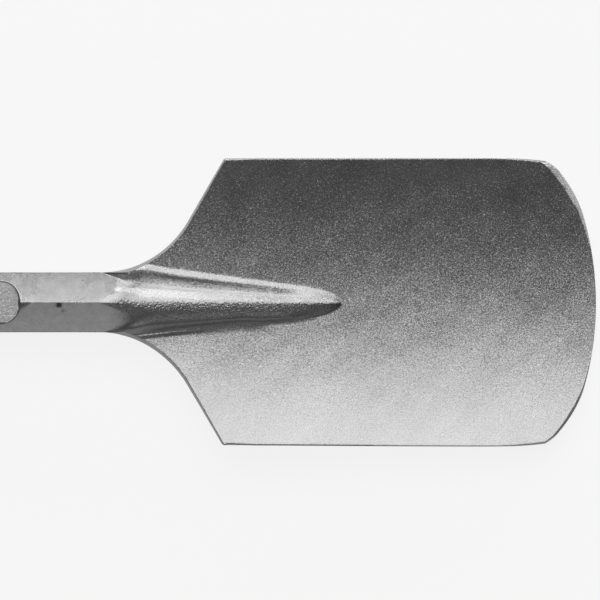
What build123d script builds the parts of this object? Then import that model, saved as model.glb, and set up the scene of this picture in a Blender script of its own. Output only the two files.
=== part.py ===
from build123d import *
from math import cos, radians, sin, sqrt, tan
import os

# A spade chisel for a breaker hammer, forged from one bar of hexagon steel.
# X runs along the tool from the middle of the striking face to the cutting edge,
# Y across the blade, and Z up through the hollow face. Millimetres and degrees.

# Hexagon shank, with one corner up and one corner down
across_flats = 28.0
shank_length = 168.0            # striking face to where the forging starts
striking_face_diameter = 24.5
striking_chamfer_angle = 35.0   # between the turned chamfer and the axis

# Notch for the hammer's retaining pin, cut across the upper corner
notch_front = 130.6             # striking face to the notch's front end
notch_length = 46.0
notch_depth = 5.7
notch_end_radius = 9.0

# Blade seen from above
overall_length = 400.0
blade_width = 135.0
shoulder_length = 55.2          # shank's end to the rear corners, at the parting level
neck_radius = 47.5              # hollow curve from the shank's side to the shoulder
shoulder_angle = 61.5           # between the shoulder and the axis
shoulder_draft = 7.0            # the forging die's draft on the neck and the shoulders
edge_radius = 144.0
corner_radius = 18.0

# Blade in section
hollow_radius = 245.0           # hollow face, across the blade
side_thinning = 1.2             # how much thinner the blade is at its sides
neck_face = 6.5                 # hollow face above the axis at the neck
neck_thickness = 13.0
neck_run = 56.0                 # distance over which the neck thins to the plate
plate_thickness = 6.4
edge_thickness = 4.0
belly_drop = 0.4                # belly at the edge, below the shank's lower corner

# Ground cutting edge
edge_land = 0.9                 # blunt height left in the middle of the edge
bevel_angle = 35.0              # bevel on the back, measured from level
facet_start = 24.0              # from the axis to where the front facets begin
facet_angle = 32.0              # front facets, measured from upright

# Spine on the hollow face and keel on the back, both running out of the shank's corners
root_length = 22.0              # shank's end to the widest place of both
spine_spread = 1.6              # how far the spine widens beyond the shank's flats
keel_spread = 0.2
spine_taper = 7.2               # each side of the spine, measured from the axis
keel_taper = 6.4
spine_length = 91.5             # widest place to the tip
spine_height = 7.4              # spine above the hollow face at its widest place
nose_length = 17.0
nose_height = 2.6               # spine and keel above the blade's faces where the nose begins
nose_turns = (0, 30, 55, 75)    # degrees round the nose at which it has a section
flank_hollow = 0.36             # height of a flank halfway down, 0.5 being straight
foot_sink = 0.8                 # how far the flanks' feet run on under the blade's faces

# Bead along each side of the spine
bead_radius = 1.4
bead_height = 0.6
bead_front_gap = 11.0           # spine's tip to the bead's front end

half_flats = across_flats / 2
corner_reach = half_flats / cos(radians(30))
half_width = blade_width / 2
spine_half_width = half_flats + spine_spread
keel_half_width = half_flats + keel_spread
neck_station = shank_length + root_length / 2
plate_station = neck_station + neck_run
spine_station = shank_length + root_length
spine_tip = spine_station + spine_length
overlap = 6.0                   # run of one forged form inside the next
room = 60.0                     # how far the trimming forms stand off the blade

edge_belly = -corner_reach - belly_drop
edge_face = edge_belly + edge_thickness


def rise(radius, y):
    """Height of a round trough's surface at y above its lowest line."""
    return radius - sqrt(radius**2 - y**2)


side_rise = rise(hollow_radius, half_width) + side_thinning
belly_radius = (half_width**2 + side_rise**2) / (2 * side_rise)


def along(x, start, start_level, end, end_level):
    """Level at x on the straight line through two given places."""
    return start_level + (end_level - start_level) * (x - start) / (end - start)


def face_level(x):
    """Height of the hollow face on the middle line."""
    return along(x, neck_station, neck_face, overall_length, edge_face)


def belly_level(x):
    """Height of the blade's back on the middle line, in front of the thick neck."""
    thick = face_level(plate_station) - plate_thickness
    return along(x, plate_station, thick, overall_length, edge_belly)


def neck_belly_level(x):
    """Height of the thick neck's back on the middle line."""
    return along(x, neck_station, neck_face - neck_thickness, plate_station, belly_level(plate_station))


def trough(radius, level):
    """Solid cylinder whose lowest line follows a level, from behind the neck past the edge."""
    start = Vector(shank_length - room, 0, level(shank_length - room))
    end = Vector(overall_length + room, 0, level(overall_length + room))
    run = end - start
    upward = Vector(-run.Z, 0, run.X).normalized()
    return extrude(Plane(origin=start + upward * radius, z_dir=run) * Circle(radius), run.length)


def both_sides(curves):
    """Upward face from one side's lines and curves, mirrored over the axis."""
    side = Curve() + curves
    return make_face(mirror(side, Plane.XZ).edges() + side.edges()).face()


def shank():
    """Hexagon bar with a turned chamfer round its striking face."""
    bar = extrude(Plane.YZ * RegularPolygon(corner_reach, 6, rotation=90), shank_length)
    face_radius = striking_face_diameter / 2
    full = corner_reach + 1
    chamfer_run = (full - face_radius) / tan(radians(striking_chamfer_angle))
    turned = Polyline((0, 0), (0, face_radius), (chamfer_run, full), (shank_length, full),
                      (shank_length, 0), close=True)
    return bar & revolve(Plane.XZ * make_face(turned), Axis.X)


def pin_notch():
    """Cutter for the retaining notch: flat floor, ends rounded about the Y axis."""
    floor = corner_reach - notch_depth
    top = floor + 2 * notch_end_radius
    middle = notch_front - notch_length / 2
    side = Plane.XZ * Pos(middle, (floor + top) / 2) * Rectangle(notch_length, top - floor)
    side = fillet(side.vertices().group_by(Axis.Z)[0], notch_end_radius)
    return extrude(side, corner_reach, both=True)


def plan_trim():
    """Upright prism of the blade's straight sides, rounded corners and curved edge."""
    bow = rise(edge_radius, half_width)
    start = shank_length - overlap
    side = Line((start, half_width), (overall_length - bow, half_width))
    edge = ThreePointArc(side @ 1, (overall_length, 0), (overall_length - bow, -half_width))
    back = Polyline(edge @ 1, (start, -half_width), side @ 0)
    plan = make_face([side, edge] + back.edges())
    plan = fillet(plan.vertices().group_by(Axis.X)[-1], corner_radius)
    return extrude(Pos(0, 0, -room) * plan, 2 * room)


def shoulder_trim():
    """Drafted prism of the neck curves and shoulders, open towards the edge."""
    turn = radians(shoulder_angle)
    centre_y = half_flats + neck_radius
    corner_x = shank_length + shoulder_length
    centre_x = corner_x + (cos(turn) * (centre_y - half_width) - neck_radius) / sin(turn)
    outer_y = half_width + room
    outer_x = corner_x + room / tan(turn)
    start = (centre_x - overlap, half_flats)
    neck = RadiusArc((centre_x, half_flats),
                     (centre_x + neck_radius * sin(turn), centre_y - neck_radius * cos(turn)),
                     -neck_radius)
    sides = [Line((centre_x - overlap, 0), start), Line(start, neck @ 0), neck,
             Line(neck @ 1, (outer_x, outer_y)),
             Line((outer_x, outer_y), (overall_length + room, outer_y)),
             Line((overall_length + room, outer_y), (overall_length + room, 0))]
    parting = -half_flats * tan(radians(30))
    plan = Pos(0, 0, parting) * both_sides(sides)
    return extrude(plan, room, taper=shoulder_draft) + extrude(plan, -room)


def ground_edge():
    """What grinding takes off the edge: a bevel below, and a facet above at each corner."""
    land_bottom = edge_face - edge_land
    bevel_fall = 3 * edge_thickness
    bevel_run = bevel_fall / tan(radians(bevel_angle))
    facet_x = overall_length - rise(edge_radius, facet_start)
    facet_level = face_level(facet_x) + rise(hollow_radius, facet_start)
    facet_run = room * tan(radians(facet_angle))
    kept = Polyline((0, land_bottom - bevel_fall), (edge_radius - bevel_run, land_bottom - bevel_fall),
                    (edge_radius, land_bottom), (edge_radius, facet_level),
                    (edge_radius - facet_run, facet_level + room), (0, facet_level + room),
                    close=True)
    kept = revolve(Plane.XZ * make_face(kept), Axis.Z)
    bottom = land_bottom - bevel_fall
    block = Pos(edge_radius, 0, (bottom + facet_level + room) / 2) * Box(
        edge_radius, 4 * half_width, facet_level + room - bottom)
    return Pos(overall_length - edge_radius, 0, 0) * (block - kept)


def blade():
    """Dished plate, thick at the neck, trimmed to its outline and ground at its edge."""
    solid = trough(belly_radius, belly_level) + trough(belly_radius, neck_belly_level)
    plate = plan_trim() & shoulder_trim() & solid
    return plate - trough(hollow_radius, face_level) - ground_edge()


def rib_section(x, half_top, top, foot, half_keel, keel, sole):
    """Section of spine and keel at x, with two hollow flanks above and two below."""
    upper = ThreePointArc((0, top), (half_top / 2, foot + flank_hollow * (top - foot)), (half_top, foot))
    lower = ThreePointArc((half_keel, sole), (half_keel / 2, sole - flank_hollow * (sole - keel)),
                          (0, keel))
    side = Curve() + [upper, Line(upper @ 1, lower @ 0), lower]
    section = make_face(side.edges() + mirror(side, Plane.YZ).edges())
    return Plane(origin=(x, 0, 0), x_dir=(0, 1, 0), z_dir=(1, 0, 0)) * section


def rib_at(x):
    """Spine and keel at x, both fading under the blade's faces at the nose."""
    nose_start = spine_tip - nose_length
    run = max(0.0, (x - nose_start) / nose_length)
    rounding = sqrt(1 - run**2)
    travel = x - spine_station
    half_top = rounding * (spine_half_width - travel * tan(radians(spine_taper)))
    half_keel = rounding * (keel_half_width - travel * tan(radians(keel_taper)))
    height = rounding * along(x, spine_station, spine_height, nose_start, nose_height)
    depth = rounding * along(x, spine_station, corner_reach + belly_level(spine_station),
                             nose_start, nose_height)
    foot = face_level(x) - foot_sink
    sole = belly_level(x) + foot_sink
    return rib_section(x, half_top, face_level(x) + height - foot_sink * run, foot,
                       half_keel, belly_level(x) - depth + foot_sink * run, sole)


def rib():
    """Spine and keel lofted from the shank's hexagon to the rounded nose."""
    hexagon = Plane.YZ.offset(shank_length) * RegularPolygon(corner_reach, 6, rotation=90)
    root = rib_at(spine_station)
    nose_start = spine_tip - nose_length
    nose = [rib_at(nose_start + nose_length * sin(radians(turn))) for turn in nose_turns]
    return loft([hexagon, root, *nose], ruled=True)


def bead():
    """Round-ended bead on one side of the spine, half sunk in the hollow face."""
    ends = []
    for x in (spine_station, spine_tip - bead_front_gap):
        y = spine_half_width - (x - spine_station) * tan(radians(spine_taper))
        crest = face_level(x) + rise(hollow_radius, y) + bead_height
        ends.append(Vector(x, y, crest - bead_radius))
    run = ends[1] - ends[0]
    rod = extrude(Plane(origin=ends[0], z_dir=run) * Circle(bead_radius), run.length)
    return rod + [Pos(*end) * Sphere(bead_radius) for end in ends]


def spade_chisel():
    """The whole forging."""
    left_bead = bead()
    body = shank() + rib() + blade() + left_bead + mirror(left_bead, Plane.XZ)
    return body - pin_notch()


os.makedirs("parts", exist_ok=True)
export_step(spade_chisel(), "parts/spade_chisel.step")
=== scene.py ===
from math import cos, pi, radians, sin, tan

import bpy
import numpy as np
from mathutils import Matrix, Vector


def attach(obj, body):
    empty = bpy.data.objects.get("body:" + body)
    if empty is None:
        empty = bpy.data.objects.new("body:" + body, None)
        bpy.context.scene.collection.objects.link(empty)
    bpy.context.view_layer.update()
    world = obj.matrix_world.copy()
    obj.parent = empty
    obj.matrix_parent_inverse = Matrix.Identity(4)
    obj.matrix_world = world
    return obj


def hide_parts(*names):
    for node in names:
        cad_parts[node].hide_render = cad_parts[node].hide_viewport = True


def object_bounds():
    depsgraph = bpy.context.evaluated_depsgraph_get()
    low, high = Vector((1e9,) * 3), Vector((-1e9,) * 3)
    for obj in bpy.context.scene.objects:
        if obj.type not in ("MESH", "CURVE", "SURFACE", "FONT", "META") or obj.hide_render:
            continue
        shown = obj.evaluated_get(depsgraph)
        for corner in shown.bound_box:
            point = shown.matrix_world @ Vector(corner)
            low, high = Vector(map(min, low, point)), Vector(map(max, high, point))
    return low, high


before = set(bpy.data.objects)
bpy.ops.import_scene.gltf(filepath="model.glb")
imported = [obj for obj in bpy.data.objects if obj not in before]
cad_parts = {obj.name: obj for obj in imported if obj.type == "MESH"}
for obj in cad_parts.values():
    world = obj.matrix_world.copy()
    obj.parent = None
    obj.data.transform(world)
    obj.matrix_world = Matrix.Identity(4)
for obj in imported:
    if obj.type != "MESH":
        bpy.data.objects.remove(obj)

cad_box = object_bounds()

# The chisel: one forging of alloy steel. Hexagon bar is hot-forged into a neck, a fluted spine and
# a dished blade, trimmed, shot-blasted from the neck on, and ground at its cutting edge. The shank
# keeps the smooth skin of the rolled bar, with a milled notch for the hammer's pin.
#
# X is counted in millimetres from the striking face to the edge, Y across the blade and Z up. The
# forging isn't quite even, so the far side (+Y) and the near side (-Y) have curves of their own.

MM = 0.001

# Hexagon shank, one corner up
HALF_FLATS = 14.0
FLAT_FALL = tan(radians(30))            # fall of the upper flats away from the corner
CORNER_REACH = HALF_FLATS / cos(radians(30))
SIDE_CORNER = -HALF_FLATS * FLAT_FALL   # level of the lower side corners, where the dies part
SHANK_LENGTH = 168.0
FACE_RADIUS = 12.25
CHAMFER_ANGLE = radians(35)
CROWN = 0.6                             # fullness of the rolled flats
CORNER_WEAR = 0.15                      # how far the near side of the corner has worn down

# Notch
NOTCH_FRONT = 130.6
NOTCH_LENGTH = 46.0
NOTCH_MIDDLE = NOTCH_FRONT - NOTCH_LENGTH / 2
NOTCH_FLOOR = CORNER_REACH - 5.7
NOTCH_HALF_WIDTH = (CORNER_REACH - NOTCH_FLOOR) / FLAT_FALL
NOTCH_ROUNDING = 9.2                    # along X, of its round ends in plan
NOTCH_WALL = 70.0                       # how steeply its end walls rise

# Blade
LENGTH = 400.0
HALF_WIDTH = 67.5
CORNER_X, CORNER_Y = 375.9, 66.3        # where the side meets the cutting edge
SHOULDER_X = SHANK_LENGTH + 55.2
SHOULDER_TURN = radians(61.5)
NECK_RADIUS = 47.5
DRAFT = radians(7)
EDGE_RADIUS = 144.0
HOLLOW_RADIUS = 245.0
BELLY_RADIUS = 217.8
NECK_X, PLATE_X = 179.0, 235.0          # where the neck is thickest, and where it has thinned out
NECK_HALF = 6.5
PLATE_THICKNESS = 6.4
EDGE_FACE, EDGE_BELLY = -12.566, -16.566
LAND_BOTTOM = EDGE_FACE - 0.9           # lower line of the blunt land along the edge
BEVEL_ANGLE = radians(35)
FACET_ANGLE = radians(45)
LOWEST = -16.25                         # no part of the back reaches below this level

# Spine and keel
SPINE_X, TIP_X = 190.0, 280.4           # their widest place and their tip
NOSE_LENGTH = 17.0
NOSE_START = TIP_X - NOSE_LENGTH
NOSE_HEIGHT = 2.9
FLUTE_DEPTH = 0.32
KEEL_HALF_WIDTH = 14.6
KEEL_TAPER = tan(radians(6.4))


def ease(t):
    """Smooth step from 0 to 1: three t squared minus two t cubed, held at its ends."""
    t = np.clip(t, 0.0, 1.0)
    return t * t * (3 - 2 * t)


def line(x, start, start_level, end, end_level):
    """Level at x on the straight line through two places."""
    return start_level + (end_level - start_level) * (x - start) / (end - start)


def rise(radius, y):
    """Height of a round trough above its lowest line: radius minus root of radius² - y²."""
    return radius - np.sqrt(radius**2 - np.minimum(np.abs(y), 0.9 * radius)**2)


def through(x, *stations):
    """Cubic curve through (place, value) stations, its slopes taken between neighbours."""
    place, value = np.array(stations, float).T
    slope = np.gradient(value, place)
    i = np.clip(np.searchsorted(place, x) - 1, 0, len(place) - 2)
    run = place[i + 1] - place[i]
    t = np.clip((x - place[i]) / run, 0.0, 1.0)
    return (value[i] * (1 + 2 * t) * (1 - t)**2 + value[i + 1] * t * t * (3 - 2 * t)
            + run * t * (1 - t) * (slope[i] * (1 - t) - slope[i + 1] * t))


def flank(share, *slopes):
    """Profile falling from 1 to 0 over shares 0 to 1: a (share, slope) table summed up."""
    place, slope = np.array(slopes, float).T
    fine = np.linspace(0, 1, 401)
    fall = np.interp(fine, place, slope)
    fallen = np.concatenate([[0], np.cumsum((fall[1:] + fall[:-1]) / 2)])
    return 1 - np.interp(share, fine, fallen / fallen[-1])


def round_crest(share, width):
    """Share with a rounded start: root of share² + width², less width, scaled to end at 1."""
    return (np.sqrt(share**2 + width**2) - width) / (np.sqrt(1 + width**2) - width)


def waves(x, y, seed, count, shortest, longest, height):
    """Unevenness of a forged face: a sum of sine waves of random heading, phase and length."""
    draw = np.random.default_rng(seed)
    total = np.zeros_like(x)
    for _ in range(count):
        length = shortest * (longest / shortest)**draw.random()
        heading, phase = draw.random() * pi, draw.random() * 2 * pi
        total += length / longest * np.sin(
            (x * cos(heading) + y * sin(heading)) * 2 * pi / length + phase)
    return total * height / count**0.5


def flat_level(y):
    """Upper flats of the hexagon: corner reach less |y| tan 30, plus a crown, less the wear."""
    share = np.clip(np.abs(y) / HALF_FLATS, 0, 1)
    crown = CROWN * share * (1 - share)**2
    return CORNER_REACH - np.abs(y) * FLAT_FALL + crown - CORNER_WEAR * ease(-y / 0.5)


def notch_level(x, y, level):
    """The given level cut by the notch: a level floor, with a steep wall round in plan at each end.

    Inside is 1 in the middle of an end's ellipse and 0 on its rim; the wall falls with it."""
    into_end = np.maximum(np.abs(x - NOTCH_MIDDLE) - (NOTCH_LENGTH / 2 - NOTCH_ROUNDING), 0)
    inside = 1 - np.hypot(into_end / NOTCH_ROUNDING, y / NOTCH_HALF_WIDTH)
    wall = np.where(into_end > 0, level - NOTCH_WALL * inside, NOTCH_FLOOR)
    return np.where(inside > 0, np.maximum(NOTCH_FLOOR, wall), level)


def shank_top(x, y):
    """Upper half of the hexagon, less the notch, the cutter's run-out beside it and a knock.

    The run-out is a plane that rises along X and to the corner. The knock is a bell curve."""
    level = flat_level(y)
    run_out = CORNER_REACH - 0.7 + 0.10 * (x - NOTCH_FRONT) + 0.40 * y
    run_out = np.where((x >= NOTCH_FRONT - 0.6) & (y < 0), run_out, level)
    knock = 0.4 * np.exp(-((x - 148.6) / 1.0)**2 - ((y + 1.0) / 0.8)**2) * (y < 0)
    return np.minimum(np.minimum(level, notch_level(x, y, level)), run_out) - knock


def face_level(x):
    """Hollow face on the middle line, falling straight from the neck to the edge."""
    return line(x, NECK_X, NECK_HALF, LENGTH, EDGE_FACE)


def belly_level(x):
    """Back of the blade on the middle line: the thick neck's line and the thin plate's, joined.

    The join is a soft minimum of the two lines, lifted by a bell curve to meet them there."""
    plate_belly = face_level(PLATE_X) - PLATE_THICKNESS
    plate = line(x, PLATE_X, plate_belly, LENGTH, EDGE_BELLY)
    neck = line(x, NECK_X, -NECK_HALF, PLATE_X, plate_belly)
    softness = 4.0
    lift = softness * np.log(2) * np.exp(-((x - PLATE_X) / 30.0)**2)
    return lift - softness * np.logaddexp(-plate / softness, -neck / softness)


def ridge_y(x):
    """The spine's ridge lies half a millimetre to one side once it has left the hexagon."""
    return -0.5 * ease((x - 167) / 12)


def ridge_level(x):
    """Top of the spine: down from the hexagon's corner, then nearly straight, then the blunt nose.

    The nose is the face plus (1 - turn^2.9)^0.75 of its height, turn being the share along it."""
    nose_level = face_level(NOSE_START) + NOSE_HEIGHT
    body = through(x, (160, CORNER_REACH), (168, CORNER_REACH), (171, 15.9), (174, 15.3),
                   (178, 14.3), (184, 12.95), (190, 11.8), (200, 10.2), (214, 8.5), (233, 6.1),
                   (251.5, 3.8), (NOSE_START, nose_level), (NOSE_START + 12, nose_level - 1.6))
    turn = np.clip((x - NOSE_START) / NOSE_LENGTH, 0.0, 1.0)
    nose = face_level(x) + NOSE_HEIGHT * (1 - turn**2.9)**0.75
    return np.where(x < NOSE_START, body, nose)


def lip_level(x):
    """Lip of the far side's flute: turned up from the flat's edge, then down to the blade."""
    return through(x, (166, 7.6), (168.5, 8.1), (172, 8.95), (176.3, 9.76), (179, 9.7), (182, 9.2),
                   (186, 8.2), (190, 7.3), (194, 6.6), (200, 5.9), (214, 4.6), (233, 2.75),
                   (251.5, 1.0), (265, face_level(265) + 0.5), (281, face_level(281)))


def lip_reach(x):
    """Distance from the ridge to the lip on the far side."""
    return through(x, (168, 14), (176, 14.3), (183, 14.6), (190, 14.5), (200, 13.0), (214, 11.0),
                   (233, 8.9), (251.5, 6.5), (265, 4.6), (275, 2.6), (281.5, 0.4))


def foot_reach(x, side):
    """Distance from the ridge to where each side of the spine meets the blade."""
    if side > 0:
        return through(x, (168, 19), (183, 18.6), (190, 18.2), (200, 17.0), (214, 15.2),
                       (233, 12.4), (251.5, 10.0), (265.5, 7.7), (275, 5.4), (278.5, 3.2),
                       (TIP_X, 0.5))
    return through(x, (168, 16.5), (183, 15.0), (190, 14.2), (200, 13.1), (214, 11.6), (233, 9.7),
                   (251.5, 9.2), (265.5, 7.0), (275, 4.4), (278.5, 2.4), (TIP_X, 0.5))


def far_flank(share):
    """Profile of the far side: round crest, steep hollow side, then a nearly level flute."""
    return flank(share, (0, 0.02), (0.05, 0.08), (0.1, 0.2), (0.15, 0.38), (0.2, 0.55),
                 (0.28, 0.64), (0.42, 0.64), (0.48, 0.5), (0.54, 0.28), (0.62, 0.12), (0.7, 0.06),
                 (0.8, 0.03), (0.88, 0), (1, 0))


def early_flank(share):
    """The far side near the hexagon: round crest, flat side, then a level flute."""
    return flank(share, (0, 0.02), (0.07, 0.22), (0.14, 0.37), (0.21, 0.53), (0.28, 0.62),
                 (0.42, 0.65), (0.47, 0.57), (0.53, 0.40), (0.6, 0.25), (0.66, 0.12), (0.73, 0.02),
                 (1, 0))


def near_flank(share):
    """Profile of the near side: round crest, a gentle fall, then a steep drop to the foot."""
    return flank(share, (0, 0), (0.09, 0.14), (0.17, 0.15), (0.24, 0.20), (0.31, 0.18),
                 (0.38, 0.15), (0.45, 0.12), (0.53, 0.11), (0.6, 0.14), (0.67, 0.18), (0.74, 0.38),
                 (0.81, 0.8), (0.88, 0.92), (0.95, 0.7), (1, 0.15))


def rounded_nose(x, off, side, dish):
    """Front of the spine: ridge height over the dish, times a power of 1 less the rounded share."""
    share = np.clip(round_crest(off / foot_reach(x, side), 0.1), 0, 1)
    power = 1.15 + 0.5 * ease((x - 262) / 12) * (side > 0)
    return dish + (ridge_level(x) - face_level(x)) * (1 - share)**power


def fluted_side(x, off, dish):
    """Far side of the spine: ridge, flank, hollow flute, lip, and a step down to the dish.

    The ridge's height over the lip is scaled by the flank profile. The flute is hollowed by a
    power curve that runs out to the lip, and the step eases from the lip down to the foot."""
    reach, foot = lip_reach(x), foot_reach(x, 1)
    bare = face_level(x) + rise(HOLLOW_RADIUS, reach)
    lip = bare + (lip_level(x) - bare) * (1 - ease((x - 258) / 22))
    share = np.clip(np.abs(off) / reach, 0, 1)
    flute = FLUTE_DEPTH * (1 - ease((x - 190) / 60))
    climb = 2.2 + 2.5 * ease((x - 188) / 20)
    hollow = flute * (1 - np.clip((share - 0.68) / 0.32, 0, 1)**climb)
    late = ease((x - 180) / 16)
    falling = early_flank(share) * (1 - late) + far_flank(share) * late
    inner = lip - hollow + (ridge_level(x) - lip + flute) * falling
    past_lip = (off - reach) / np.maximum(foot - reach, 0.1)
    level_lip = 0.3 - 0.2 * ease((x - 188) / 14)
    step = dish + (lip - bare) * (1 - ease((past_lip - level_lip) / (1 - level_lip)))
    body = np.where(off < reach, inner, step)
    return body + (rounded_nose(x, off, 1, dish) - body) * ease((x - 251) / 20)


def stepped_side(x, off, dish):
    """Near side of the spine: ridge, flank, and a low terrace that eases out into the dish.

    The flank starts straight and takes on the near side's profile as it leaves the hexagon."""
    foot = foot_reach(x, -1)
    terrace = (0.35 + 0.12 * ease((x - 190) / 15)) * ease((x - 178) / 6) * (
        1 - ease((x - 238) / 14))
    share = np.clip(-off / foot, 0, 1)
    falling = 1 - share + (near_flank(share) - 1 + share) * ease((x - 171) / 18)
    body = dish + terrace * (1 - ease((-off - foot - 0.35) / 2.2)) + (
        ridge_level(x) - face_level(x) - terrace) * falling
    return body + (rounded_nose(x, off, -1, dish) - body) * ease((x - 251) / 20)


def crease_y(x):
    """Line on the far side where the lip's turned-up skin leaves the hexagon's flat."""
    return through(x, (166, 14.3), (168, 14.0), (172, 12.7), (176.3, 11.2), (181, 9.7), (186, 8.6))


def pressed_reach(x):
    """How far from the ridge the forging has pressed the far flat down at x."""
    return np.interp(x, (166.5, 170, 174, 177.7, 181, 190), (0.3, 2.4, 4.5, 6.3, 8.6, 12.0))


def far_tongue(x, y, off, forged):
    """The far flat running out into the forging, pressed down beside the ridge.

    The flat is lowered by a parabola from the ridge to the pressed reach, and eased into the
    forged level. Near the lip it runs on below it, sinking as the square of the way past 175."""
    upward = np.maximum(y, 0)
    flat = flat_level(upward) - (y - upward) * FLAT_FALL
    run_on = np.maximum(forged, flat - 0.06 * np.maximum(x - 175, 0)**2)
    pressed = CORNER_REACH - ridge_y(x) * FLAT_FALL - ridge_level(x)
    flat = flat - pressed * np.clip(1 - off / (pressed_reach(x) - ridge_y(x)), 0, 1)**2
    level = flat + (forged - flat) * ease((x - 174 + 1.5 * ease((y - 3.5) / 4)) / 14)
    return level + (run_on - level) * ease((y - 7.5) / 3)


def tongue_end(y):
    """Where the near flat's rounded tongue ends in the forging: a power of a half sine wave."""
    bow = np.sin(pi * np.clip(np.abs(y) / HALF_FLATS, 0, 1))
    return SHANK_LENGTH + 12.5 * bow**np.where(np.abs(y) < HALF_FLATS / 2, 1.2, 0.8)


def near_tongue(x, y, off, forged):
    """The near flat, straight from the ridge to the side corner, eased out past its tongue."""
    flat = ridge_level(x) - np.abs(off) * (ridge_level(x) + SIDE_CORNER) / HALF_FLATS
    flat = flat + flat_level(y) - CORNER_REACH + np.abs(y) * FLAT_FALL
    eased = flat + (forged - flat) * ease((x - tongue_end(y)) / 14)
    return np.where(-y > HALF_FLATS + 0.2, forged, eased)


def spine_top(x, y):
    """Forged face: the dish, and on it both sides of the spine, and the turned-up skin of the lip.

    The skin falls slowly away from the flat's edge, faster outside it and towards the front."""
    off = y - ridge_y(x)
    dish = face_level(x) + rise(HOLLOW_RADIUS, y)
    forged = np.where(off >= 0, far_tongue(x, y, off, fluted_side(x, off, dish)),
                      near_tongue(x, y, off, stepped_side(x, off, dish)))
    ends = 40 * (y < 3) + 2.5 * np.maximum(y - HALF_FLATS - 0.4, 0) + 0.02 * np.maximum(
        x - 184, 0)**2
    return np.maximum(forged, lip_level(x) - 0.085 * np.abs(HALF_FLATS - y) - ends)


def top_level(x, y):
    """Whole upper side: the shank, then the forged face with its waves and one raised fleck."""
    rough = waves(x, y, 3, 26, 9.0, 46.0, 0.11) * ease((x - 176) / 16)
    fleck = 0.22 * np.exp(-((x - 247.2) / 2.0)**2 - ((y + 12.4) / 0.8)**2)
    return np.where(x < SHANK_LENGTH, shank_top(x, y), spine_top(x, y)) + rough + fleck


def back_level(x, y):
    """Whole underside: hexagon, a plain keel that fades to a nose, and the round belly.

    The keel's depth is scaled by (1 - rounded share of its width)^1.6."""
    hexagon = -CORNER_REACH + np.abs(y) * FLAT_FALL
    belly = belly_level(x) + rise(BELLY_RADIUS, y)
    turn = np.sqrt(1 - np.clip((x - NOSE_START) / NOSE_LENGTH, 0, 1)**2)
    reach = np.maximum(turn * (KEEL_HALF_WIDTH - (x - SPINE_X) * KEEL_TAPER), 0.3)
    depth = line(x, SPINE_X, CORNER_REACH + belly_level(SPINE_X), NOSE_START, 3.0)
    share = round_crest(np.clip(np.abs(y) / reach, 0, 1), 0.09)
    forged = belly - turn * np.maximum(depth, 0) * (1 - share)**1.6
    forged = hexagon + (forged - hexagon) * ease((x - SHANK_LENGTH - 1) / 20)
    rough = waves(x, y, 5, 22, 10.0, 50.0, 0.10) * ease((x - 176) / 16)
    return np.maximum(np.where(x < SHANK_LENGTH, hexagon, forged) + rough, LOWEST)


def outline(x, z, side):
    """Half-width at x and level z: neck arc, straight shoulder and side, drafted in plan."""
    pinched = 0.6 * ease((x - 173) / 5) * (1 - ease((x - 195) / 25))
    x = x - (0.45 if side > 0 else -pinched)
    inset = np.maximum(z - SIDE_CORNER, 0.0) * tan(DRAFT)
    centre_y = HALF_FLATS + NECK_RADIUS
    centre_x = SHOULDER_X + (cos(SHOULDER_TURN) * (centre_y - HALF_WIDTH) - NECK_RADIUS) / sin(
        SHOULDER_TURN)
    radius = NECK_RADIUS + inset
    run = np.clip(x - centre_x, 0.0, radius * sin(SHOULDER_TURN))
    arc = centre_y - np.sqrt(radius**2 - run**2)
    straight = HALF_WIDTH + tan(SHOULDER_TURN) * (x - SHOULDER_X) - inset / cos(SHOULDER_TURN)
    neck = np.where(x < centre_x + radius * sin(SHOULDER_TURN), arc, straight)
    taper = (0.15 if side > 0 else 0.75) * (1 - ease((x - 210) / 140))
    to_corner = np.clip((x - 357) / (CORNER_X - 357), 0, 1)
    drawn_in = (HALF_WIDTH - CORNER_Y) * to_corner**2
    return np.maximum(HALF_FLATS, np.minimum(neck, HALF_WIDTH - taper - drawn_in))


def edge_x(y):
    """Cutting edge in plan: a round arc, drawn in by a parabola, and again at both corners."""
    far, corner_starts = 40.0, 62.5
    pull = np.where(y > 0, 0.0080, 0.0092)
    arc = LENGTH - EDGE_RADIUS + np.sqrt(EDGE_RADIUS**2 - y**2) - pull * np.maximum(
        np.abs(y) - far, 0.0)**2
    at_corner = LENGTH - EDGE_RADIUS + (EDGE_RADIUS**2 - CORNER_Y**2)**0.5 - pull * (
        CORNER_Y - far)**2
    share = np.maximum(np.abs(y) - corner_starts, 0.0) / (CORNER_Y - corner_starts)
    return arc - (at_corner - CORNER_X) * share**1.6


def facet_run(y):
    """Width of the facets on the face along X: wide at the edge's corners, none in the middle."""
    far = np.interp(y, (24, 29, 34, 43, 48, 53, 61, 63, 66.3),
                    (0.1, 0.5, 0.9, 1.9, 2.6, 3.0, 3.5, 3.4, 2.4))
    near = np.interp(-y, (26, 31, 36, 41, 46, 52, 62, 66.2),
                     (0.1, 0.4, 0.55, 0.9, 1.4, 1.6, 1.3, 1.1))
    return np.where(y > 0, far, near)


def bevel_run(y):
    """Width of the bevel on the back: what a level grinding takes off the round belly."""
    height = LAND_BOTTOM - belly_level(edge_x(y)) - rise(BELLY_RADIUS, y)
    return np.maximum(height / tan(BEVEL_ANGLE), 0.1)


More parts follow.
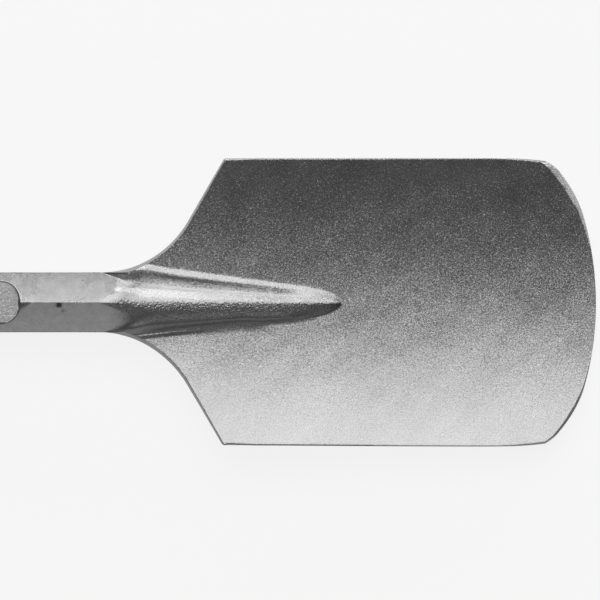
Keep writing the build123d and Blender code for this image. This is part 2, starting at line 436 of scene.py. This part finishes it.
# Grid of the whole surface: rows run across the tool, close together where the form changes fast.
# Columns run from the middle line to an inner guide, an outer guide and the rim on each side.
plain_rows = np.concatenate([
    np.linspace(0, 6.5, 14), np.linspace(10, 82, 7), np.linspace(84.7, 94, 14),
    np.linspace(96, 121, 9), np.linspace(122.3, 130.6, 15), np.linspace(131.2, 136, 8),
    np.linspace(138, 144, 4), np.linspace(145.2, 151, 13), np.linspace(153, 167.5, 9),
    np.linspace(168.3, 224.6, 78), [225.3, 226.0], np.linspace(226.9, 285, 76)])
FAN_START = 285.0                       # from here on the rows bend to follow the edge
FAN_SHARE = np.linspace(0, 1, 94)[1:]
FAN_GAP = 0.3                           # last of them, this far behind the ground strip
GROUND_STEPS = (1.0, 0.5, 0.0)
TOP_COUNTS = (30, 14, 40)
BACK_COUNTS = (12, 9, 21)


def spread(inner, outer, rim, counts):
    """Columns from the middle line out: even runs to an inner line, an outer line and the rim."""
    parts = []
    ends = (np.zeros_like(rim), inner, outer, rim)
    for count, start, end in zip(counts, ends[:-1], ends[1:]):
        share = np.arange(1, count + 1) / count
        parts.append(start[:, None] + (end - start)[:, None] * share)
    return np.concatenate(parts, axis=1)


def half_sheets(guides, counts, ground_run, rim):
    """Both halves of a face as (x, y, edge, ground width), rows by columns from the middle out.

    Each column has its own place along the cutting edge, and its last rows lie before it."""
    halves = []
    for side in (1, -1):
        corner = [guide(np.array([CORNER_X]), side) for guide in guides]
        last = spread(*corner, np.array([CORNER_Y]), counts)[0]
        edge_y = np.concatenate([[0.0], last]) * side
        tip = edge_x(edge_y)
        ground = ground_run(edge_y)
        x = np.concatenate([
            np.repeat(plain_rows[:, None], len(edge_y), axis=1),
            FAN_START + (tip - ground - FAN_GAP - FAN_START) * FAN_SHARE[:, None],
            np.array([tip - ground * step for step in GROUND_STEPS])])
        rim_x = x[:, -1]
        y = spread(*[guide(rim_x, side) for guide in guides], rim(rim_x, side), counts)
        y = np.concatenate([np.zeros((len(x), 1)), y], axis=1) * side
        halves.append((x, y, tip, ground))
    return halves


def top_inner(x, side):
    """Inner guide of the upper face: the notch's rim, then widening to the lip and its crease."""
    to_end = np.abs(x - NOTCH_MIDDLE) - (NOTCH_LENGTH / 2 - NOTCH_ROUNDING)
    into_end = np.clip(to_end, 0, NOTCH_ROUNDING) / NOTCH_ROUNDING
    notch_rim = NOTCH_HALF_WIDTH * np.sqrt(1 - into_end**2)
    plain = np.where(x > NOTCH_MIDDLE, line(x, NOTCH_FRONT, 0.8, 150, 8), 8.0)
    shank = np.where(np.abs(x - NOTCH_MIDDLE) < NOTCH_LENGTH / 2, np.maximum(notch_rim, 0.8),
                     np.clip(plain, 0.8, 8))
    forged = np.maximum(lip_reach(np.minimum(x, 270)), 3.2) + 8 * ease((x - 275) / 60)
    forged = np.minimum(forged, 12.5)
    if side > 0:
        crease = np.minimum(crease_y(x), 13.8)
        forged = crease + (forged - crease) * ease((x - 181) / 14)
    return np.where(x < 156, shank, shank + (forged - shank) * ease((x - 156) / 11))


def top_outer(x, side):
    """Outer guide of the upper face: part of the way down the flat, then the spine's foot."""
    inner = top_inner(x, side)
    forged = np.maximum(foot_reach(np.minimum(x, 272), side), 6.4) + 14 * ease((x - 272) / 70)
    rim = outline(x, face_level(x) + 2, side)
    forged = np.minimum(forged, inner + (rim - inner) * 0.75)
    plain = inner + (HALF_FLATS - inner) * 0.6
    return np.where(x < SHANK_LENGTH, plain,
                    plain + (forged - plain) * ease((x - SHANK_LENGTH) / 20))


def back_inner(x, side):
    """Inner guide of the back: a line down the flat, then the keel's side, then spreading out."""
    forged = np.clip(KEEL_HALF_WIDTH - (x - SPINE_X) * KEEL_TAPER, 7, 13)
    eased = 11.0 + (forged - 11.0) * ease((x - SHANK_LENGTH) / 15)
    return np.where(x < SHANK_LENGTH, 11.0, eased) + 6 * ease((x - 280) / 60)


def back_outer(x, side):
    """Outer guide of the back: two fifths of the way from the inner one to the rim."""
    inner = back_inner(x, side)
    return inner + (outline(x, belly_level(x), side) - inner) * 0.4


def rim_where_level(level, inset):
    """Where a face ends sideways: the outline at the level it has there, less an inset in plan."""
    def rim(x, side):
        """Half-width at x: the level and the outline are worked out from each other in turn."""
        y = outline(x, np.zeros_like(x), side)
        for _ in range(5):
            y = outline(x, level(x, side * y), side)
        return y - inset(x)
    return rim


def top_inset(x):
    """The upper rim leans in a little at the blade's rear and front corners."""
    rear = 0.5 * (1 - ease((x - 226.8) / 14)) * (x > 226.8)
    return 0.7 * ease((x - 350) / 25) + rear


def no_inset(x):
    """The lower rim stands on the outline."""
    return 0 * x


def join(halves):
    """Both halves of a face side by side, from +Y to -Y: x, y, edge and ground width."""
    far, near = halves
    x, y = [np.concatenate([far[i][:, ::-1], near[i][:, 1:]], axis=1) for i in (0, 1)]
    tip, ground = [np.concatenate([far[i][::-1], near[i][1:]]) for i in (2, 3)]
    return x, y, tip, ground


# The face: its columns follow the ridge to one side, and the facets slope down at 45 degrees,
# measured square to the edge.
top_x, top_y, tip, width = join(half_sheets(
    (top_inner, top_outer), TOP_COUNTS, facet_run, rim_where_level(top_level, top_inset)))
from_middle = np.abs(top_y) / np.abs(top_y[:, [0]])
top_y = top_y + ridge_y(top_x) * (1 - from_middle**2) * (top_x > SHANK_LENGTH)
square = 1 / np.sqrt(1 + np.gradient(edge_x(top_y[-1]), top_y[-1])**2)
into_facet = np.maximum(width - (tip - top_x), 0.0)
top_z = top_level(top_x, top_y) - into_facet * square * tan(FACET_ANGLE)

# The back: the bevel rises to the land's lower line.
back_x, back_y, tip, width = join(half_sheets(
    (back_inner, back_outer), BACK_COUNTS, bevel_run, rim_where_level(back_level, no_inset)))
into_bevel = np.maximum(width - (tip - back_x), 0.0)
bevel_level = LAND_BOTTOM - (width - into_bevel) * tan(BEVEL_ANGLE)
back_z = back_level(back_x, back_y)
back_z = np.where(into_bevel > 0, np.maximum(back_z, bevel_level), back_z)

RIM_ROUNDING = 0.75
RIM_TURNS = np.radians((22.5, 45, 67.5, 90))


def rim_wall(a, inner_a, b, inner_b):
    """Wall from rim a down to rim b, with a quarter round at each and a flat between them.

    A round's points are its corner less radius (1 - sin turn) back into the face, plus radius
    (1 - cos turn) along the wall. Gives the points and how far each face draws back."""
    wall = b - a
    length = np.linalg.norm(wall, axis=1, keepdims=True)
    wall = wall / length
    radius = np.minimum(RIM_ROUNDING, 0.2 * length)
    out_a = (a - inner_a) / np.linalg.norm(a - inner_a, axis=1, keepdims=True) * radius
    out_b = (b - inner_b) / np.linalg.norm(b - inner_b, axis=1, keepdims=True) * radius
    points = [a - out_a * (1 - sin(turn)) + wall * radius * (1 - cos(turn)) for turn in RIM_TURNS]
    points += [a + wall * (radius + (length - 2 * radius) * share) for share in (0.35, 0.65)]
    points += [b - out_b * (1 - sin(turn)) - wall * radius * (1 - cos(turn))
               for turn in RIM_TURNS[::-1]]
    return points, out_a, out_b


# One closed ring a row: the face, the near rim's wall, the back and the far rim's wall
top_grid = np.stack([top_x, top_y, top_z], axis=2)
back_grid = np.stack([back_x, back_y, back_z], axis=2)
near_wall, top_near, back_near = rim_wall(
    top_grid[:, -1], top_grid[:, -2], back_grid[:, -1], back_grid[:, -2])
far_wall, top_far, back_far = rim_wall(
    top_grid[:, 0], top_grid[:, 1], back_grid[:, 0], back_grid[:, 1])
top_grid[:, -1] -= top_near
top_grid[:, 0] -= top_far
back_grid[:, -1] -= back_near
back_grid[:, 0] -= back_far
ring = np.concatenate([top_grid, np.stack(near_wall, axis=1), back_grid[:, ::-1],
                       np.stack(far_wall[::-1], axis=1)], axis=1)
ROWS, COLUMNS = ring.shape[:2]
TOP_COLUMNS, BACK_COLUMNS = top_grid.shape[1], back_grid.shape[1]
BACK_START = TOP_COLUMNS + len(near_wall)

# The turned chamfer round the striking face pulls the first rings in to its cone.
reach = np.hypot(ring[:, :, 1], ring[:, :, 2])
cone = FACE_RADIUS + ring[:, :, 0] * tan(CHAMFER_ANGLE)
pull = np.where(ring[:, :, 0] < 12, np.minimum(1, cone / reach), 1.0)
ring[:, :, 1] *= pull
ring[:, :, 2] *= pull

# Masks of the finishes, one value a point. Blasting starts where the flats run out, and its
# border is faint over part of the near flat.
ring_x, ring_y, ring_z = ring[:, :, 0], ring[:, :, 1], ring[:, :, 2]
on_flat = (1 - ease((ring_x - 174) / 5)) * ease((crease_y(ring_x) - ring_y) / 0.5 + 1.3) * ease(
    (ring_y - pressed_reach(ring_x)) / 1.4 + 0.8)
blasted = np.where(ring_y > 0, 1 - on_flat, ease((ring_x - tongue_end(ring_y)) / 3.0 + 0.6))
part_blasted = np.exp(-((ring_y + 8.5) / 5.0)**4) * (1 - ease((ring_x - 177) / 8))
blasted = blasted * ease((ring_x - 165.5) / 2) * (1 - 0.8 * part_blasted)

in_notch = np.abs(ring_x - NOTCH_MIDDLE) < NOTCH_LENGTH / 2
below_flat = ring_z < CORNER_REACH - np.abs(ring_y) * FLAT_FALL - 0.15
milled = in_notch & below_flat & (ring_z > 8)

# Along the ridge the skin is rougher.
from_ridge = ring_y - ridge_y(ring_x) + 1.2
ridge = np.exp(-(from_ridge / 2.2)**2) * ease((ring_x - 166) / 10) * (
    1 - ease((ring_x - 272) / 9)) * (ring_z > face_level(ring_x))

# Dark spots are painted in the knock and beside it, and a thin painted shadow line runs round the
# notch's rim.
into_end = np.maximum(np.abs(ring_x - NOTCH_MIDDLE) - (NOTCH_LENGTH / 2 - NOTCH_ROUNDING), 0)
from_rim = 1 - np.hypot(into_end / NOTCH_ROUNDING, ring_y / NOTCH_HALF_WIDTH)
dark_spots_and_shade = np.exp(-((ring_x - 148.6) / 1.25)**4 - ((ring_y + 1.1) / 1.15)**4)
dark_spots_and_shade = np.maximum(dark_spots_and_shade, 0.6 * np.exp(-((ring_x - 150.3) / 0.7)**2 - ((ring_y + 4.0) / 0.7)**2))
# A thin painted shadow line round the notch's rim
dark_spots_and_shade = np.maximum(dark_spots_and_shade, 0.75 * np.exp(-(from_rim / 0.035)**2) * (ring_z > 8))

# Ground strips: the bevel, and the facet at the far corner. The near corner's facet was left by
# the trimming and is blasted over.
ground = np.zeros((ROWS, COLUMNS))
ground[:, :TOP_COLUMNS] = (into_facet > 0) & (top_y > 0)
ground[:, BACK_START:BACK_START + BACK_COLUMNS] = (into_bevel > 0)[:, ::-1]

# Faces: the rings' quads, a fan on the striking face, the land that joins the last row of the
# face to that of the back, two columns to one, and the two ends of the rim walls.
index = np.arange(ROWS * COLUMNS).reshape(ROWS, COLUMNS)
around = np.roll(index, -1, axis=1)
centre = ROWS * COLUMNS
quads = np.stack([around[:-1], around[1:], index[1:], index[:-1]], axis=2).reshape(-1, 4)
fan = np.stack([np.full(COLUMNS, centre), around[0], index[0]], axis=1)
upper = index[-1, :TOP_COLUMNS]
lower = index[-1, BACK_START:BACK_START + BACK_COLUMNS][::-1]
land_threes = np.stack([upper[0:-2:2], upper[1:-1:2], lower[:-1]], axis=1)
land_fours = np.stack([upper[1:-1:2], upper[2::2], lower[1:], lower[:-1]], axis=1)
near_end = index[-1, TOP_COLUMNS - 1:BACK_START + 1]
far_end = np.concatenate([index[-1, BACK_START + BACK_COLUMNS - 1:], index[-1, :1]])
faces = quads.tolist() + fan.tolist() + land_threes.tolist() + land_fours.tolist()
faces += [near_end.tolist(), far_end.tolist()]
points = np.concatenate([ring.reshape(-1, 3), [[0.0, 0.0, 0.0]]])

mesh = bpy.data.meshes.new("forged_chisel")
mesh.from_pydata((points * MM).tolist(), [], faces)
mesh.update()
for name, values in (("blasted", blasted), ("milled", milled), ("ridge", ridge),
                     ("ground", ground), ("dark_spots_and_shade", dark_spots_and_shade), ("along_edge", ring_y)):
    attribute = mesh.attributes.new(name, "FLOAT", "POINT")
    attribute.data.foreach_set("value", np.append(values.ravel(), 0.0).astype(np.float32))
mesh.polygons.foreach_set("use_smooth", np.ones(len(mesh.polygons), bool))
mesh.set_sharp_from_angle(angle=radians(27))
chisel = bpy.data.objects.new("forged_chisel", mesh)
bpy.context.scene.collection.objects.link(chisel)


class Wire:
    """A value in a material. Arithmetic on it adds the Math nodes that work it out."""

    def __init__(self, tree, socket):
        self.tree = tree
        self.socket = socket

    def node(self, kind, settings, sockets, output=0):
        """Any node of this wire's material: settings first, then values or wires to its sockets."""
        node = self.tree.nodes.new(kind)
        for name, value in settings.items():
            setattr(node, name, value)
        for name, value in sockets.items():
            if isinstance(value, Wire):
                self.tree.links.new(value.socket, node.inputs[name])
            else:
                node.inputs[name].default_value = value
        return Wire(self.tree, node.outputs[output])

    def maths(self, operation, *values):
        """A Math node on the given values or wires."""
        return self.node("ShaderNodeMath", {"operation": operation}, dict(enumerate(values)))

    def __add__(self, other):
        return self.maths("ADD", self, other)

    def __sub__(self, other):
        return self.maths("SUBTRACT", self, other)

    def __rsub__(self, other):
        return self.maths("SUBTRACT", other, self)

    def __mul__(self, other):
        return self.maths("MULTIPLY", self, other)

    __radd__ = __add__
    __rmul__ = __mul__


def new_material(name):
    """Empty material, and a wire of the piece's own coordinates in metres."""
    material = bpy.data.materials.new(name)
    material.use_nodes = True
    tree = material.node_tree
    tree.nodes.clear()
    coordinates = tree.nodes.new("ShaderNodeTexCoord")
    return material, Wire(tree, coordinates.outputs["Object"])


def finish(material, shader, mesh):
    """Join the shader to the material's output and put the material on the mesh."""
    output = material.node_tree.nodes.new("ShaderNodeOutputMaterial")
    material.node_tree.links.new(shader.socket, output.inputs["Surface"])
    mesh.materials.append(material)


# Steel: bare and grey all over. Only its grey value, its roughness and its fine relief change from
# the rolled skin to the blasted, milled and ground places, the dark spots and the painted shadow
# line.
forged_steel, place = new_material("forged_steel")


def noise(scale, detail, roughness=0.5, output="Fac"):
    """Cloudy pattern in the steel, scale in lumps a metre."""
    return place.node("ShaderNodeTexNoise", {}, {
        "Vector": place, "Scale": scale, "Detail": detail, "Roughness": roughness}, output)


def mask(name):
    """One of the mesh's own values."""
    return place.node("ShaderNodeAttribute", {"attribute_name": name}, {}, "Fac")


def mix(factor, a, b):
    """From a at factor 0 to b at factor 1."""
    return a + factor * (b - a)


def fit(value, low, high):
    """Smooth step of a value from 0 at low to 1 at high."""
    return place.node("ShaderNodeMapRange", {"interpolation_type": "SMOOTHSTEP"}, {
        "Value": value, "From Min": low, "From Max": high})


grain = noise(2300, 1.0) - 0.5
lumps = noise(800, 2.0, 0.6) - 0.5
mottle = noise(240, 3.0, 0.6) - 0.5
patches = noise(60, 3.0) - 0.5
clouds = noise(16, 2.0) - 0.5
pits = place.node("ShaderNodeTexVoronoi", {}, {"Vector": place, "Scale": 1450.0}, "Distance") - 0.42
grinding = place.node("ShaderNodeTexNoise", {"noise_dimensions": "1D"}, {
    "W": mask("along_edge"), "Scale": 2.6, "Detail": 3.0, "Roughness": 0.7}) - 0.5

is_milled, is_ground, is_dark_spot_or_shade, is_ridge = [
    mask(name) for name in ("milled", "ground", "dark_spots_and_shade", "ridge")]
border = mask("blasted")
is_blasted = fit(border + 3.0 * lumps * border * (1 - border), 0.0, 1.0)

# The rolled skin is rubbed brighter towards the upper corner on its far flat, and towards the
# side corner on its near one.
across = place.node("ShaderNodeSeparateXYZ", {}, {"Vector": place}, "Y")
is_far = fit(across, -0.0003, 0.0003)
rubbed = 0.285 + is_far * (0.068 - across * 8.3) - (1 - is_far) * across * 2.8
rolled_grey = rubbed + 0.14 * mottle + 0.22 * grain
blasted_grey = 0.212 + 0.05 * patches + 0.05 * clouds + 0.14 * grain
grey = mix(is_blasted, rolled_grey, blasted_grey)
grey = mix(is_milled, grey, 0.30 + 0.2 * lumps)
grey = mix(is_ground, grey, 0.44 + 0.4 * grinding)
# Dark spots, and the painted shadow line round the notch's rim
grey = mix(is_dark_spot_or_shade, grey, 0.06)
colour = place.node("ShaderNodeCombineColor", {}, {"Red": grey, "Green": grey, "Blue": grey})

roughness = mix(is_blasted, 0.275 + 0.05 * patches, 0.43 + 0.08 * patches)
for where, value in ((is_milled, 0.42), (is_ground, 0.36), (is_dark_spot_or_shade, 0.6)):
    roughness = mix(where, roughness, value)

height = is_blasted * (pits * 0.05 + lumps * 0.06 + is_ridge * (lumps * 1.3 + pits * 0.4))
height = height + (1 - is_blasted) * (mottle * 0.10 + is_milled * lumps * 0.15)
height = mix(is_ground, height, grinding * 0.5)

# Blasting leaves small dents that glint each its own way, deeper towards the far side.
dents = noise(1500.0, 1.0, output="Color")
dents = place.node("ShaderNodeVectorMath", {"operation": "SUBTRACT"}, {
    0: dents, 1: (0.5, 0.5, 0.5)})
dents = place.node("ShaderNodeVectorMath", {"operation": "SCALE"}, {
    0: dents, "Scale": is_blasted * (across * 4.0 + 0.33) + is_milled * 0.12 + 0.09})
facing = place.node("ShaderNodeNewGeometry", {}, {}, "Normal")
facing = place.node("ShaderNodeVectorMath", {"operation": "ADD"}, {0: facing, 1: dents})
facing = place.node("ShaderNodeVectorMath", {"operation": "NORMALIZE"}, {0: facing})
relief = place.node("ShaderNodeBump", {}, {
    "Normal": facing, "Strength": 1.0, "Distance": 0.00045, "Height": height})
steel = place.node("ShaderNodeBsdfPrincipled", {}, {
    "Base Color": colour, "Metallic": 1.0, "Roughness": roughness, "Normal": relief})
finish(forged_steel, steel, mesh)

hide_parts("spade_chisel")
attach(chisel, "root")

# The floor: a sheet of pale matt paper that the chisel lies on. The camera sees its plain tone with
# a little of its own shading left in, and the steel sees half of each, so that the shadow stays.
FLOOR_HALF = 8.0
FLOOR_GAP = 0.0002
PAPER_TONE = 0.92
SEEN_PLAIN = 0.94
MIRRORED_PLAIN = 0.47

floor_z = cad_box[0][2] - FLOOR_GAP
corners = [(x * FLOOR_HALF, y * FLOOR_HALF, floor_z)
           for x, y in ((-1, -1), (1, -1), (1, 1), (-1, 1))]
floor_mesh = bpy.data.meshes.new("floor")
floor_mesh.from_pydata(corners, [], [(0, 1, 2, 3)])
floor = bpy.data.objects.new("floor", floor_mesh)
bpy.context.scene.collection.objects.link(floor)

paper, on_paper = new_material("pale_paper")
matt = on_paper.node("ShaderNodeBsdfDiffuse", {}, {"Color": (0.9, 0.9, 0.9, 1)})
plain = on_paper.node("ShaderNodeEmission", {}, {
    "Color": (PAPER_TONE, PAPER_TONE, PAPER_TONE, 1), "Strength": 1.0})
seen, mirrored, passed = [on_paper.node("ShaderNodeLightPath", {}, {}, ray)
                          for ray in ("Is Camera Ray", "Is Glossy Ray", "Is Transmission Ray")]
shown = on_paper.node("ShaderNodeMixShader", {}, {
    0: seen * SEEN_PLAIN + (mirrored + passed) * MIRRORED_PLAIN, 1: matt, 2: plain})
finish(paper, shown, floor_mesh)

# The studio: two soft panels over the far side, one high and one low, a weak one over the near
# side, and a camera that looks straight down on the blade and the front of the shank.
AIM = (0.2610, 0.0011, 0.0)
PANEL_DISTANCE = 2.0
CAMERA_DISTANCE = 4.0
FIELD = 0.2809                          # width that the picture takes in, in metres


def soft_panel(name, zenith, width, height, radiance):
    """Panel facing the tool, its middle at an angle from straight up towards +Y.

    Its power is pi times its area times its radiance."""
    light = bpy.data.lights.new(name, "AREA")
    light.shape = "RECTANGLE"
    light.size, light.size_y = width, height
    light.energy = radiance * pi * width * height
    lamp = bpy.data.objects.new(name, light)
    lamp.location = (AIM[0], AIM[1] + PANEL_DISTANCE * sin(zenith), PANEL_DISTANCE * cos(zenith))
    lamp.rotation_euler = (-zenith, 0, 0)
    lamp.visible_camera = False
    bpy.context.scene.collection.objects.link(lamp)


soft_panel("high_panel", radians(30), 2.1, 1.45, 5.3)
soft_panel("low_panel", radians(80), 4.0, 0.7, 9.0)
soft_panel("fill_panel", radians(-65), 1.8, 1.3, 0.70)

world = bpy.data.worlds.new("studio")
bpy.context.scene.world = world
world.use_nodes = True
background = world.node_tree.nodes["Background"]
background.inputs["Color"].default_value = (1, 1, 1, 1)
background.inputs["Strength"].default_value = 0.04

camera = bpy.data.cameras.new("camera")
camera.sensor_width = 36.0
camera.lens = camera.sensor_width * CAMERA_DISTANCE / FIELD
camera.clip_end = 50.0
viewer = bpy.data.objects.new("camera", camera)
viewer.location = (AIM[0], AIM[1], CAMERA_DISTANCE)
bpy.context.scene.collection.objects.link(viewer)
bpy.context.scene.camera = viewer
bpy.context.scene.view_settings.view_transform = "Standard"
